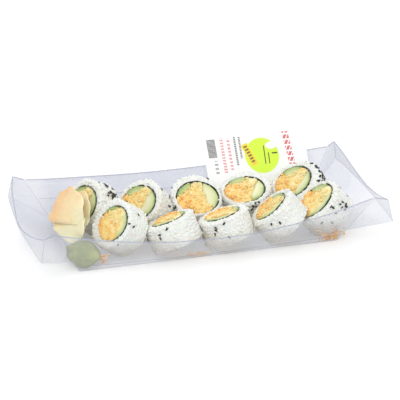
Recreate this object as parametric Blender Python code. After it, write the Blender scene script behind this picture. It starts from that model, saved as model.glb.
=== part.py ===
"""Takeaway sushi tray: a clear folded tray holding ten inside-out rolls, ginger, wasabi and a label card.

Metres, +Z up.  The origin is the centre of the underside of the tray base, X runs along the tray and
Y from the front wall to the back wall.  Sizes below are in millimetres and scaled once, in add_solid.
"""
import math

import bmesh
import bpy
import numpy as np

MM = 0.001

# ---- tray: one folded sheet -------------------------------------------------------------------
BASE_LENGTH = 202.0
BASE_WIDTH = 75.2
SHEET = 0.5
CREASE_TOP = (22.0, 15.5, 39.0)      # crease end, outward from a base corner
EAR_TOP = (30.3, 22.7, 39.6)         # rim tip of the corner ear
EAR_TIP = (33.6, 26.2, 22.8)         # lower tip of the corner ear
CREASE_SPLIT = 0.24                  # share of the crease where the ear's lower fold starts
FRONT_RIM = (24.0, 24.8)             # outward and height of the rim halfway along
BACK_RIM = (25.5, 29.5)
END_FOLD = (37.0, 23.0)              # outward and height of the end fold halfway across
END_LIP = 2.4                        # height of the end lip there
WALL_LEVELS = (0.0, CREASE_SPLIT, 0.5, 0.75, 1.0)
EAR_COLUMNS = 2
LONG_COLUMNS = 18
END_COLUMNS = 8

# ---- rolls -------------------------------------------------------------------------------------
ROLL_RADIUS = 19.6
ROLL_LENGTH = 21.0
ROLL_EDGE = 2.4                      # rounding of the rice at both cuts
RICE_INNER = 16.0
NORI_OUTER = 15.7
NORI_INNER = 15.1
FILLING_RADIUS = 14.8
FILLING_GAP = 0.3
ROLL_SEGMENTS = 26
REST_GAP = 0.3
# name, x, y, heading of the cut face, lift of the cut face above level
ROLLS = (
    ("back_roll_1", -78.0, 25.0, -154.0, 32.0),
    ("back_roll_2", -38.5, 14.5, -144.0, 46.0),
    ("back_roll_3", 3.2, 16.2, -90.0, 61.0),
    ("back_roll_4", 45.6, 21.0, -125.0, 71.0),
    ("back_roll_5", 88.4, 20.6, -149.0, 56.0),
    ("front_roll_1", -65.0, -17.6, -158.0, 36.5),
    ("front_roll_2", -26.4, -25.2, 138.0, 65.5),
    ("front_roll_3", 15.2, -25.0, 141.0, 70.0),
    ("front_roll_4", 56.7, -25.8, 166.0, 51.0),
    ("front_roll_5", 93.4, -22.6, -175.0, 49.0),
)

# ---- label card: corners of the middle of the card ----------------------------------------------
CARD_TOP_LEFT = (24.4, 76.4, 49.4)
CARD_TOP_RIGHT = (105.9, 60.2, 55.0)
CARD_BOTTOM_LEFT = (24.4, 47.9, 15.9)
CARD_BOTTOM_RIGHT = (105.9, 42.2, 14.9)
CARD_THICK = 0.4

# ---- ginger and wasabi --------------------------------------------------------------------------
# name, centre, half length, half width, thickness, heading and lift of the face, turn, bend
GINGER = (
    ("ginger_slice_1", (-93.5, 8.0, 26.5), 19.0, 15.5, 2.4, -152.0, 35.0, 15.0, 0.008),
    ("ginger_slice_2", (-95.6, -4.6, 24.2), 18.0, 14.5, 2.4, -152.0, 35.0, -25.0, 0.008),
    ("ginger_slice_3", (-104.0, 6.0, 28.0), 16.5, 13.0, 2.4, -152.0, 35.0, 60.0, 0.008),
)
WASABI_CENTRE = (-92.9, -21.0)
WASABI_RADII = (9.0, 11.4, 12.0)

COLOURS = {
    "tray": (0.80, 0.82, 0.92, 1.0),
    "label_card": (0.93, 0.94, 0.93, 1.0),
    "rice": (0.88, 0.87, 0.80, 1.0),
    "nori": (0.02, 0.03, 0.02, 1.0),
    "mix": (0.95, 0.47, 0.10, 1.0),
    "avocado": (0.66, 0.70, 0.28, 1.0),
    "green": (0.24, 0.36, 0.07, 1.0),
    "ginger": (0.93, 0.72, 0.40, 1.0),
    "wasabi": (0.33, 0.42, 0.10, 1.0),
}


def clear_scene():
    """Empty the file of the objects it opens with."""
    for item in list(bpy.data.objects):
        bpy.data.objects.remove(item, do_unlink=True)


def finish_material(name, look):
    """Return a Principled material of one colour for the node."""
    material = bpy.data.materials.new(name)
    material.use_nodes = True
    shader = material.node_tree.nodes["Principled BSDF"]
    shader.inputs["Base Color"].default_value = COLOURS[look]
    shader.inputs["Roughness"].default_value = 0.15 if look == "tray" else 0.6
    return material


def add_solid(name, points, faces, look):
    """Make one closed solid from millimetre points, its faces turned outward."""
    mesh = bpy.data.meshes.new(name)
    mesh.from_pydata([tuple(float(v) * MM for v in p) for p in points], [], faces)
    work = bmesh.new()
    work.from_mesh(mesh)
    bmesh.ops.remove_doubles(work, verts=work.verts, dist=0.00002)
    bmesh.ops.recalc_face_normals(work, faces=work.faces)
    work.to_mesh(mesh)
    work.free()
    mesh.materials.append(finish_material(name, look))
    item = bpy.data.objects.new(name, mesh)
    bpy.context.scene.collection.objects.link(item)
    return item


def grid_faces(rows, columns, start=0, closed=False):
    """Return the quads of a grid of rows by columns, closed round the columns when asked."""
    faces = []
    for i in range(rows - 1):
        for j in range(columns if closed else columns - 1):
            k = (j + 1) % columns
            a, b = start + i * columns, start + (i + 1) * columns
            faces.append((a + j, a + k, b + k, b + j))
    return faces


def lerp(a, b, t):
    """Blend two points."""
    return np.asarray(a, float) * (1.0 - t) + np.asarray(b, float) * t


# ------------------------------------------------------------------------------------------- tray
def corner(side_x, side_y, offset=(0.0, 0.0, 0.0)):
    """Return a base corner moved outward by an offset."""
    return np.array((side_x * (BASE_LENGTH / 2 + offset[0]),
                     side_y * (BASE_WIDTH / 2 + offset[1]), offset[2]))


def long_wall(side_y, rim):
    """Grid of the front or back wall: straight lines from the base edge to a dipped rim."""
    grid = []
    for level in WALL_LEVELS:
        row = []
        for i in range(LONG_COLUMNS + 1):
            u = i / LONG_COLUMNS
            q = (2.0 * u - 1.0) ** 2
            foot = lerp(corner(-1, side_y), corner(1, side_y), u)
            x = (2.0 * u - 1.0) * (BASE_LENGTH / 2 + CREASE_TOP[0])
            out = rim[0] + (CREASE_TOP[1] - rim[0]) * q
            top = (x, side_y * (BASE_WIDTH / 2 + out), rim[1] + (CREASE_TOP[2] - rim[1]) * q)
            row.append(lerp(foot, top, level))
        grid.append(row)
    return grid


def ear_front(side_x, side_y):
    """Grid of the ear face that turns away from the long wall at the crease."""
    grid = []
    foot, top = corner(side_x, side_y), corner(side_x, side_y, CREASE_TOP)
    tip, rim = corner(side_x, side_y, EAR_TIP), corner(side_x, side_y, EAR_TOP)
    levels = WALL_LEVELS[1:]
    for k, level in enumerate(levels):
        near, far = lerp(foot, top, level), lerp(tip, rim, k / (len(levels) - 1))
        grid.append([lerp(near, far, j / EAR_COLUMNS) for j in range(EAR_COLUMNS + 1)])
    return grid


def end_curve(side_x, w, lip):
    """Point of the end fold (lip 0) or the end rim (lip 1) at a share across the tray."""
    side = 2.0 * w - 1.0
    low = corner(side_x, 1, EAR_TIP) if lip == 0 else corner(side_x, 1, EAR_TOP)
    out, height = END_FOLD[0], END_FOLD[1] + lip * END_LIP
    bow = 1.0 - side * side
    x = low[0] + (side_x * (BASE_LENGTH / 2 + out) - low[0]) * bow
    sag = bow if lip == 0 else 1.0 - abs(side) ** 1.7
    return np.array((x, low[1] * side, low[2] + (height - low[2]) * sag))


def end_panel(side_x):
    """Grid of the flared end between the base edge and the end fold."""
    foot, split = corner(side_x, -1), lerp(corner(side_x, -1), corner(side_x, -1, CREASE_TOP),
                                           CREASE_SPLIT)
    tip = corner(side_x, -1, EAR_TIP)
    side = [foot, split] + [lerp(split, tip, j / EAR_COLUMNS) for j in range(1, EAR_COLUMNS + 1)]
    shares = [float(np.linalg.norm(p - foot) / np.linalg.norm(tip - foot)) for p in side]
    grid = []
    for point, share in zip(side, shares):
        shift = point - lerp(foot, tip, share)
        row = []
        for i in range(END_COLUMNS + 1):
            w = i / END_COLUMNS
            low = lerp(corner(side_x, -1), corner(side_x, 1), w)
            fade = abs(2.0 * w - 1.0) ** 3
            flip = np.array((1.0, 1.0 if w < 0.5 else -1.0, 1.0))
            row.append(lerp(low, end_curve(side_x, w, 0), share) + shift * fade * flip)
        grid.append(row)
    return grid


def end_lip(side_x):
    """Grid of the lip above the end fold, tall at the ears and low in the middle."""
    rows = len(WALL_LEVELS) - 1
    return [[lerp(end_curve(side_x, i / END_COLUMNS, 0), end_curve(side_x, i / END_COLUMNS, 1),
                  k / (rows - 1)) for i in range(END_COLUMNS + 1)] for k in range(rows)]


def floor_grid():
    """Grid of the flat base."""
    return [[lerp(lerp(corner(-1, -1), corner(1, -1), i / LONG_COLUMNS),
                  lerp(corner(-1, 1), corner(1, 1), i / LONG_COLUMNS), j / END_COLUMNS)
             for i in range(LONG_COLUMNS + 1)] for j in range(END_COLUMNS + 1)]


def tray_sheet():
    """Return the outside of the tray as one welded open sheet, its normals pointing out."""
    panels = [floor_grid(), long_wall(-1, FRONT_RIM), long_wall(1, BACK_RIM)]
    panels += [ear_front(sx, sy) for sx in (-1, 1) for sy in (-1, 1)]
    panels += [end_panel(-1), end_panel(1), end_lip(-1), end_lip(1)]
    points, faces = [], []
    for grid in panels:
        faces += grid_faces(len(grid), len(grid[0]), len(points))
        points += [p for row in grid for p in row]
    work = bmesh.new()
    made = [work.verts.new(tuple(p)) for p in points]
    for face in faces:
        work.faces.new([made[i] for i in face])
    bmesh.ops.remove_doubles(work, verts=work.verts, dist=0.01)
    bmesh.ops.triangulate(work, faces=work.faces)
    bmesh.ops.recalc_face_normals(work, faces=work.faces)
    work.normal_update()
    low = min(work.faces, key=lambda f: f.calc_center_median().z)
    if low.normal.z > 0:
        bmesh.ops.reverse_faces(work, faces=work.faces)
        work.normal_update()
    return work


def inward_offset(vert):
    """Return the move that takes a vertex the sheet thickness inside every face round it."""
    rows = np.array([tuple(f.normal) for f in vert.link_faces])
    move = np.linalg.pinv(rows, rcond=0.05) @ np.full(len(rows), -SHEET)
    length = float(np.linalg.norm(move))
    return move * min(1.0, 2.6 * SHEET / length)


def build_tray():
    """Build the tray: the outside sheet, its inside copy and the edge round the rim."""
    work = tray_sheet()
    work.verts.index_update()
    outside = [np.array(tuple(v.co)) for v in work.verts]
    inside = [p + inward_offset(v) for p, v in zip(outside, work.verts)]
    count = len(outside)
    faces = [tuple(v.index for v in f.verts) for f in work.faces]
    faces += [tuple(v.index + count for v in reversed(f.verts)) for f in work.faces]
    for edge in work.edges:
        if len(edge.link_faces) == 1:
            loop = edge.link_loops[0]
            a, b = loop.vert.index, loop.link_loop_next.vert.index
            faces += [(b, a, a + count), (b, a + count, b + count)]
    work.free()
    return add_solid("tray", outside + inside, faces, "tray")


# ------------------------------------------------------------------------------------------ rolls
def roll_frame(heading, lift):
    """Return the right, up and cut-face directions of a roll as rows."""
    a, e = math.radians(heading), math.radians(lift)
    face = np.array((math.cos(e) * math.cos(a), math.cos(e) * math.sin(a), math.sin(e)))
    right = np.cross((0.0, 0.0, 1.0), face)
    right /= np.linalg.norm(right)
    return np.array((right, np.cross(face, right), face))


def rice_profile():
    """Return radius and depth of the rice ring's section, going once round it."""
    half = ROLL_LENGTH / 2
    soft = ROLL_EDGE * 0.29
    return [(RICE_INNER, half), (ROLL_RADIUS - ROLL_EDGE, half), (ROLL_RADIUS - soft, half - soft),
            (ROLL_RADIUS, half - ROLL_EDGE), (ROLL_RADIUS, -half + ROLL_EDGE),
            (ROLL_RADIUS - soft, -half + soft), (ROLL_RADIUS - ROLL_EDGE, -half),
            (RICE_INNER, -half)]


def ring(profile):
    """Turn a section round the roll's axis into a closed ring."""
    points = []
    for radius, depth in profile:
        for i in range(ROLL_SEGMENTS):
            t = 2.0 * math.pi * i / ROLL_SEGMENTS
            points.append((radius * math.cos(t), radius * math.sin(t), depth))
    faces = grid_faces(len(profile), ROLL_SEGMENTS, closed=True)
    last = (len(profile) - 1) * ROLL_SEGMENTS
    for i in range(ROLL_SEGMENTS):
        k = (i + 1) % ROLL_SEGMENTS
        faces.append((last + i, last + k, k, i))
    return np.array(points), faces


def arc(radius, start, stop, count):
    """Return points along an arc, in degrees."""
    angles = [math.radians(start + (stop - start) * i / (count - 1)) for i in range(count)]
    return [(radius * math.cos(t), radius * math.sin(t)) for t in angles]


def filling_outlines():
    """Return the three fillings of the cut: shredded mix, avocado on the right, green upper left."""
    avocado = arc(FILLING_RADIUS, -48, 62, 9) + [(5.2, 5.6), (7.6, 0.0), (7.0, -5.2)]
    green = arc(FILLING_RADIUS, 98, 168, 6) + [(-9.6, 2.6), (-6.4, 6.4), (-2.2, 8.4)]
    mix = arc(FILLING_RADIUS, 170.5, 310.0, 10)
    mix += [(7.0 - FILLING_GAP, -5.5), (7.6 - FILLING_GAP, 0.0), (5.2 - FILLING_GAP, 5.7)]
    mix += arc(FILLING_RADIUS, 64.5, 95.6, 4)
    mix += [(-2.1, 8.4 - 0.35), (-6.3 + 0.1, 6.4 - 0.35), (-9.5 + 0.1, 2.6 - 0.35)]
    return (("mix", mix, 0.5), ("avocado", avocado, 0.2), ("green", green, -0.2))


def prism(outline, half):
    """Extrude an outline along the roll's axis."""
    count = len(outline)
    points = [(x, y, half) for x, y in outline] + [(x, y, -half) for x, y in outline]
    faces = [tuple(range(count)), tuple(reversed(range(count, 2 * count)))]
    for i in range(count):
        k = (i + 1) % count
        faces.append((i, k, count + k, count + i))
    return np.array(points), faces


def build_roll(name, x, y, heading, lift):
    """Build one roll: rice, nori and three fillings, resting on the tray floor."""
    axes = roll_frame(heading, lift)
    rice, rice_faces = ring(rice_profile())
    drop = float((rice @ axes)[:, 2].min())
    centre = np.array((x, y, SHEET + REST_GAP - drop))
    add_solid(name + "_rice", rice @ axes + centre, rice_faces, "rice")
    half = ROLL_LENGTH / 2
    sheet, sheet_faces = ring([(NORI_INNER, half), (NORI_OUTER, half), (NORI_OUTER, -half),
                               (NORI_INNER, -half)])
    add_solid(name + "_nori", sheet @ axes + centre, sheet_faces, "nori")
    for part, outline, extra in filling_outlines():
        points, faces = prism(outline, half + extra)
        add_solid(name + "_" + part, points @ axes + centre, faces, part)


# ------------------------------------------------------------------------------- card, ginger, wasabi
def build_card():
    """Build the label card as a thin sheet following the back wall."""
    rows, columns = 5, 9
    middle = np.array([[lerp(lerp(CARD_BOTTOM_LEFT, CARD_BOTTOM_RIGHT, j / (columns - 1)),
                             lerp(CARD_TOP_LEFT, CARD_TOP_RIGHT, j / (columns - 1)),
                             i / (rows - 1)) for j in range(columns)] for i in range(rows)])
    along = middle[:, -1:] - middle[:, :1]
    up = middle[-1:] - middle[:1]
    normal = np.cross(along, up)
    normal /= np.linalg.norm(normal, axis=2)[..., None]
    front = (middle + normal * CARD_THICK / 2).reshape(-1, 3)
    back = (middle - normal * CARD_THICK / 2).reshape(-1, 3)
    count = rows * columns
    faces = grid_faces(rows, columns)
    faces += [tuple(i + count for i in reversed(f)) for f in grid_faces(rows, columns)]
    edge = list(range(columns)) + [i * columns + columns - 1 for i in range(1, rows)]
    edge += [count - 2 - j for j in range(columns - 1)]
    edge += [i * columns for i in range(rows - 2, 0, -1)]
    for a, b in zip(edge, edge[1:] + edge[:1]):
        faces.append((b, a, a + count, b + count))
    add_solid("label_card", np.concatenate([front, back]), faces, "label_card")


def ball(rows, columns):
    """Return unit points and faces of a closed ball."""
    points = [(0.0, 0.0, 1.0)]
    for i in range(1, rows):
        p = math.pi * i / rows
        for j in range(columns):
            t = 2.0 * math.pi * j / columns
            points.append((math.sin(p) * math.cos(t), math.sin(p) * math.sin(t), math.cos(p)))
    points.append((0.0, 0.0, -1.0))
    faces = grid_faces(rows - 1, columns, 1, closed=True)
    last = len(points) - 1
    for j in range(columns):
        k = (j + 1) % columns
        faces.append((0, 1 + k, 1 + j))
        faces.append((last, last - columns + j, last - columns + k))
    return np.array(points), faces


def build_ginger(name, centre, long, wide, thick, heading, lift, turn, bend):
    """Build one ginger slice: a flattened oval, bent across its width and turned on its face."""
    points, faces = ball(6, 18)
    flat = points.copy()
    reach = np.hypot(points[:, 0], points[:, 1])
    flat[:, 2] = np.sign(points[:, 2]) * (1.0 - reach ** 4) ** 0.5 * thick / 2
    flat[:, 0] *= wide
    flat[:, 1] *= long
    flat[:, 2] -= bend * flat[:, 0] ** 2
    t = math.radians(turn)
    spin = np.array(((math.cos(t), math.sin(t), 0.0), (-math.sin(t), math.cos(t), 0.0),
                     (0.0, 0.0, 1.0)))
    add_solid(name, flat @ spin @ roll_frame(heading, lift) + np.array(centre), faces, "ginger")


def build_wasabi():
    """Build the wasabi: a lumpy mound with a flat underside."""
    points, faces = ball(9, 18)
    lump = 1.0 + 0.08 * np.sin(3.1 * points[:, 0] * 2 + 1.0) * np.cos(2.7 * points[:, 1] * 2)
    shape = points * lump[:, None] * np.array(WASABI_RADII)
    floor = SHEET + REST_GAP
    shape[:, 2] = np.maximum(shape[:, 2] * 0.62 + WASABI_RADII[2] * 0.36, 0.0) + floor
    low = points[:, 2] < -0.62
    shape[low, 2] = floor
    add_solid("wasabi", shape + np.array((*WASABI_CENTRE, 0.0)), faces, "wasabi")


def main():
    """Build every node."""
    clear_scene()
    build_tray()
    for roll in ROLLS:
        build_roll(*roll)
    build_card()
    for piece in GINGER:
        build_ginger(*piece)
    build_wasabi()


main()
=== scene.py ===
"""Takeaway sushi tray: the finished look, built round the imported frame.

Shapes are worked out in millimetres in the frame's axes: X along the tray, Y to the back wall and Z
up.  They become metres when a mesh is made.
"""
import logging
import math
from collections.abc import Callable
from dataclasses import dataclass
from enum import Enum

import bmesh
import bpy
import numpy as np
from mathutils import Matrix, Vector


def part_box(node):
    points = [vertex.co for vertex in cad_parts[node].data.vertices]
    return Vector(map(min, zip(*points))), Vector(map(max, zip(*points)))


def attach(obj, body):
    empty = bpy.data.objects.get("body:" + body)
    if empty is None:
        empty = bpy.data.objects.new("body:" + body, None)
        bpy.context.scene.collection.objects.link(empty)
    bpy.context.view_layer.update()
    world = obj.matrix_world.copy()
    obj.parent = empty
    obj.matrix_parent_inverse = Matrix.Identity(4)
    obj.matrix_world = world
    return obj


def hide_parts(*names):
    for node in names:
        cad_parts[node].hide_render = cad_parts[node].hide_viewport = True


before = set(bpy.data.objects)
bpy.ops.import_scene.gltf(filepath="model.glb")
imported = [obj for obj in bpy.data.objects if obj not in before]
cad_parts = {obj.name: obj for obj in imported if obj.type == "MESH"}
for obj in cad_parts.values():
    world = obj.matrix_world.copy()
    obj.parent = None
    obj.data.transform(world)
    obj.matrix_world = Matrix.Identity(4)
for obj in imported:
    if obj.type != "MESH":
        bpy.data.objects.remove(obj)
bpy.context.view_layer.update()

LOG = logging.getLogger("sushi_tray")
MM = 0.001
BODY = "root"
Array = np.ndarray
SIDES = (-1, 1)
CORNERS = [(sx, sy) for sx in SIDES for sy in SIDES]


# ================================================================================ shader writing
def operator(operation: str, turned: bool = False) -> Callable:
    """Write a method that adds a Math node.

    Args:
        operation: Blender's name of the operation.
        turned: puts the other value first.

    Returns:
        The method.
    """
    def method(self: "Value", other: object) -> "Value":
        """Add the node and return its result."""
        inputs = {0: other, 1: self} if turned else {0: self, 1: other}
        return self.deck.node("ShaderNodeMath", {"operation": operation}, inputs)
    return method


class Value:
    """One output or input socket of a material, with arithmetic that adds Math nodes."""

    def __init__(self, deck: "Deck", socket: bpy.types.NodeSocket) -> None:
        """Keep the deck that owns the socket."""
        self.deck = deck
        self.socket = socket

    __add__ = __radd__ = operator("ADD")
    __sub__, __rsub__ = operator("SUBTRACT"), operator("SUBTRACT", True)
    __mul__ = __rmul__ = operator("MULTIPLY")
    __truediv__, __rtruediv__ = operator("DIVIDE"), operator("DIVIDE", True)
    __pow__, __rpow__ = operator("POWER"), operator("POWER", True)
    __lt__, __gt__ = operator("LESS_THAN"), operator("GREATER_THAN")
    most, least = operator("MAXIMUM"), operator("MINIMUM")

    def alone(self, operation: str) -> "Value":
        """Add a Math node that takes one value, and return its result."""
        return self.deck.node("ShaderNodeMath", {"operation": operation}, {0: self})


class Deck:
    """One material and the nodes that make it."""

    def __init__(self, name: str) -> None:
        """Start with a Principled shader on the output."""
        self.material = bpy.data.materials.new(name)
        self.material.use_nodes = True
        self.tree = self.material.node_tree
        self.shader = self.tree.nodes["Principled BSDF"]

    def plug(self, node: bpy.types.Node, key: object, value: object) -> None:
        """Set or link one input of a node.

        Args:
            node: the node.
            key: the input's name or number.
            value: a socket to link, or a number, vector or colour to set.
        """
        socket = node.inputs[key]
        if isinstance(value, Value):
            self.tree.links.new(value.socket, socket)
        elif isinstance(value, tuple) and len(value) == 3 and len(socket.default_value) == 4:
            socket.default_value = (*value, 1.0)
        else:
            socket.default_value = value

    def node(self, kind: str, settings: dict, inputs: dict, out: object = 0) -> Value:
        """Add any node.

        Args:
            kind: the node's type.
            settings: its own settings, set first; "stops" holds a ramp's places and colours.
            inputs: values or links of its sockets by name or number.
            out: the output to return.

        Returns:
            The chosen output.
        """
        node = self.tree.nodes.new(kind)
        for key, value in settings.items():
            if key == "stops":
                ramp = node.color_ramp
                while len(ramp.elements) < len(value):
                    ramp.elements.new(0.5)
                for element, (place, colour) in zip(ramp.elements, value):
                    element.position = place
                    element.color = (*colour, 1.0)
            else:
                setattr(node, key, value)
        for key, value in inputs.items():
            self.plug(node, key, value)
        return Value(self, node.outputs[out])

    def place(self) -> Value:
        """Object coordinates, in metres."""
        return self.node("ShaderNodeTexCoord", {}, {}, "Object")

    def mark(self, name: str) -> Value:
        """A number the mesh carries at each vertex."""
        return self.node("ShaderNodeAttribute", {"attribute_name": name}, {}, "Fac")

    def noise(self, size_mm: float, detail: float = 2.0, rough: float = 0.5,
              warp: float = 0.0) -> Value:
        """Soft noise whose lumps are about size_mm across, from 0 to 1."""
        return self.node("ShaderNodeTexNoise", {},
                         {"Vector": self.place(), "Scale": 1.0 / (size_mm * MM),
                          "Detail": detail, "Roughness": rough, "Distortion": warp}, 0)

    def ramp(self, fac: Value, stops: tuple) -> Value:
        """Colours along a value."""
        return self.node("ShaderNodeValToRGB", {"stops": stops}, {"Fac": fac}, 0)

    def blend(self, fac: object, a: object, b: object) -> Value:
        """Mix two colours."""
        return self.node("ShaderNodeMix", {"data_type": "RGBA"}, {0: fac, 6: a, 7: b}, 2)

    def bump(self, height: Value, depth_mm: float, strength: float = 1.0) -> Value:
        """Small relief of a given depth."""
        return self.node("ShaderNodeBump", {},
                         {"Height": height, "Distance": depth_mm * MM, "Strength": strength}, 0)

    def surface(self, **inputs: object) -> bpy.types.Material:
        """Set the shader's sockets, with underscores for spaces, and return the material."""
        for key, value in inputs.items():
            self.plug(self.shader, key.replace("_", " "), value)
        return self.material


# ===================================================================================== finishes
@dataclass(frozen=True)
class ClearPlastic:
    """Thin clear sheet with a cool tint.

    A painted shade mark deepens it from the front wall, painted lighter as if lit, to the back and
    the ends, painted darker as shade; it is stronger edge on, with faint painted reflection streaks
    along the tray.
    """

    name: str = "clear_plastic"
    # Painted light and shade: the front tint is painted lighter, as if lit, and the rear tint
    # darker, as painted shade.
    front_tint: tuple = (0.69, 0.71, 0.78)
    rear_tint: tuple = (0.41, 0.45, 0.60)
    streak_tint: tuple = (0.86, 0.88, 0.94)
    front_cover: float = 0.115
    rear_cover: float = 0.33
    edge_cover: float = 0.26
    cloud_cover: float = 0.06
    glint_cover: float = 0.03
    streak_stretch: tuple = (0.035, 0.3, 1.0)
    streak_scale: float = 620.0
    roughness: float = 0.10

    def streaks(self, deck: Deck) -> Value:
        """Noise drawn out along the tray, from 0 to 1."""
        place = deck.node("ShaderNodeMapping", {},
                          {"Vector": deck.place(), "Scale": self.streak_stretch}, 0)
        return deck.node("ShaderNodeTexNoise", {}, {"Vector": place, "Scale": self.streak_scale,
                                                    "Detail": 3.0, "Roughness": 0.55}, 0)

    def make(self) -> bpy.types.Material:
        """Dress the sheet.

        Returns:
            The material.
        """
        deck = Deck(self.name)
        # Painted shade: this mark blends the tint from the lit front to the shaded rear and raises
        # the cover with it.
        rear = deck.mark("rear")
        edge = deck.node("ShaderNodeLayerWeight", {}, {"Blend": 0.35}, "Facing")
        streak = self.streaks(deck)
        # Painted highlight: glint marks the brightest streaks, which get more cover.
        glint = deck.ramp(streak, ((0.45, (0.0, 0.0, 0.0)), (0.70, (1.0, 1.0, 1.0))))
        tint = deck.blend(rear, self.front_tint, self.rear_tint)
        cover = rear * (self.rear_cover - self.front_cover) + self.front_cover
        cover = cover + edge * edge * self.edge_cover
        cover = cover + deck.noise(26.0, 2.0) * self.cloud_cover + glint * self.glint_cover
        wave = deck.noise(12.0, 2.0) + streak * 0.15
        # Painted reflection: the streaks blend the tint towards the pale streak tint.
        return deck.surface(Base_Color=deck.blend(streak * 0.3, tint, self.streak_tint),
                            Roughness=self.roughness, Alpha=cover,
                            Normal=deck.bump(wave, 0.5, 0.35),
                            IOR=1.5, Specular_IOR_Level=0.8)


@dataclass(frozen=True)
class SheetEdge:
    """Cut rim or fold of the clear sheet, where it reads as a fine darker line."""

    name: str
    tint: tuple
    cover: float
    broken_cover: float = 0.3
    paler: float = 1.7

    def make(self) -> bpy.types.Material:
        """Dress the line: soft noise breaks its cover and its tint.

        Returns:
            The material.
        """
        deck = Deck(self.name)
        broken = deck.noise(7.0, 3.0, 0.6)
        pale = tuple(min(1.0, c * self.paler) for c in self.tint)
        return deck.surface(Base_Color=deck.blend(broken, self.tint, pale), Roughness=0.15,
                            Alpha=broken * self.broken_cover + self.cover,
                            Specular_IOR_Level=0.8)


@dataclass(frozen=True)
class MottledFood:
    """Food whose colour runs along a ramp, chosen by soft noise and a mark carried by the mesh, and
    whose fine noise gives a small relief and an uneven gloss.

    cloud and fine are noises: size in millimetres, detail, roughness and warp.  cloud_share and
    mark_share weigh what picks the colour.  gloss is the fine noise's part of the roughness and
    what it adds to, relief a depth in millimetres and a strength, soft the subsurface weight and
    scale, and coat the coat's weight and roughness.
    """

    name: str
    cloud: tuple
    cloud_share: float
    mark: str
    mark_share: float
    stops: tuple
    fine: tuple
    gloss: tuple
    relief: tuple
    soft: tuple = (0.0, 0.05)
    coat: tuple = (0.0, 0.03)

    def colour(self, deck: Deck, cloud: Value) -> Value:
        """Colour along the ramp."""
        return deck.ramp(cloud * self.cloud_share + deck.mark(self.mark) * self.mark_share,
                         self.stops)

    def make(self) -> bpy.types.Material:
        """Dress the food.

        Returns:
            The material.
        """
        deck = Deck(self.name)
        fine = deck.noise(*self.fine)
        return deck.surface(Base_Color=self.colour(deck, deck.noise(*self.cloud)),
                            Roughness=fine * self.gloss[0] + self.gloss[1],
                            Normal=deck.bump(fine, *self.relief),
                            Subsurface_Weight=self.soft[0], Subsurface_Scale=self.soft[1],
                            Coat_Weight=self.coat[0], Coat_Roughness=self.coat[1])


@dataclass(frozen=True)
class DampRice(MottledFood):
    """Cooked rice painted darker and browner, in a patchy way, where it lies low in the tray, as
    painted shade under the roll.
    """

    # Painted shade: brown tint laid over the rice where it lies low.
    stain: tuple = (0.46, 0.41, 0.28)
    deepest: float = 0.85

    def colour(self, deck: Deck, cloud: Value) -> Value:
        """Colour along the ramp, then the painted shade over it."""
        # Painted shade: the mark, broken by the cloud, blends the rice towards the shade tint.
        damp = deck.mark("damp") * (cloud + 0.35)
        return deck.blend(damp.least(self.deepest), super().colour(deck, cloud), self.stain)


@dataclass(frozen=True)
class PickledGinger:
    """Wet translucent slice, cream with a peach blush and fine fibres."""

    name: str = "pickled_ginger"
    fibres: float = 46.0

    def make(self) -> bpy.types.Material:
        """Dress the slice: its tone mark gives the blush, and its fibre mark, repeated, the lines.

        Returns:
            The material.
        """
        deck = Deck(self.name)
        cloud = deck.noise(9.0, 2.0)
        line = ((deck.mark("fibre") * self.fibres).alone("FRACT") - 0.5).alone("ABSOLUTE") * 2.0
        mixed = deck.mark("tone") * 0.75 + cloud * 0.3 + line * 0.05
        colour = deck.ramp(mixed, ((0.10, (0.86, 0.84, 0.58)), (0.40, (0.90, 0.77, 0.47)),
                                   (0.70, (0.92, 0.65, 0.35)), (1.0, (0.89, 0.50, 0.19))))
        height = line * 0.4 + deck.noise(2.2, 3.0, 0.6)
        return deck.surface(Base_Color=colour, Roughness=cloud * 0.15 + 0.20,
                            Normal=deck.bump(height, 0.18, 0.6),
                            Subsurface_Weight=0.22, Subsurface_Scale=0.003,
                            Coat_Weight=0.35, Coat_Roughness=0.12)


@dataclass(frozen=True)
class Bars:
    """Printed bars: the box they fill (low x, high x, low y, high y), how far apart they are, how
    much of that each takes, how unevenly they lie and how strong they are."""

    box: tuple
    pitch: float
    share: float
    uneven: float = 0.0
    strength: float = 1.0


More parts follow.
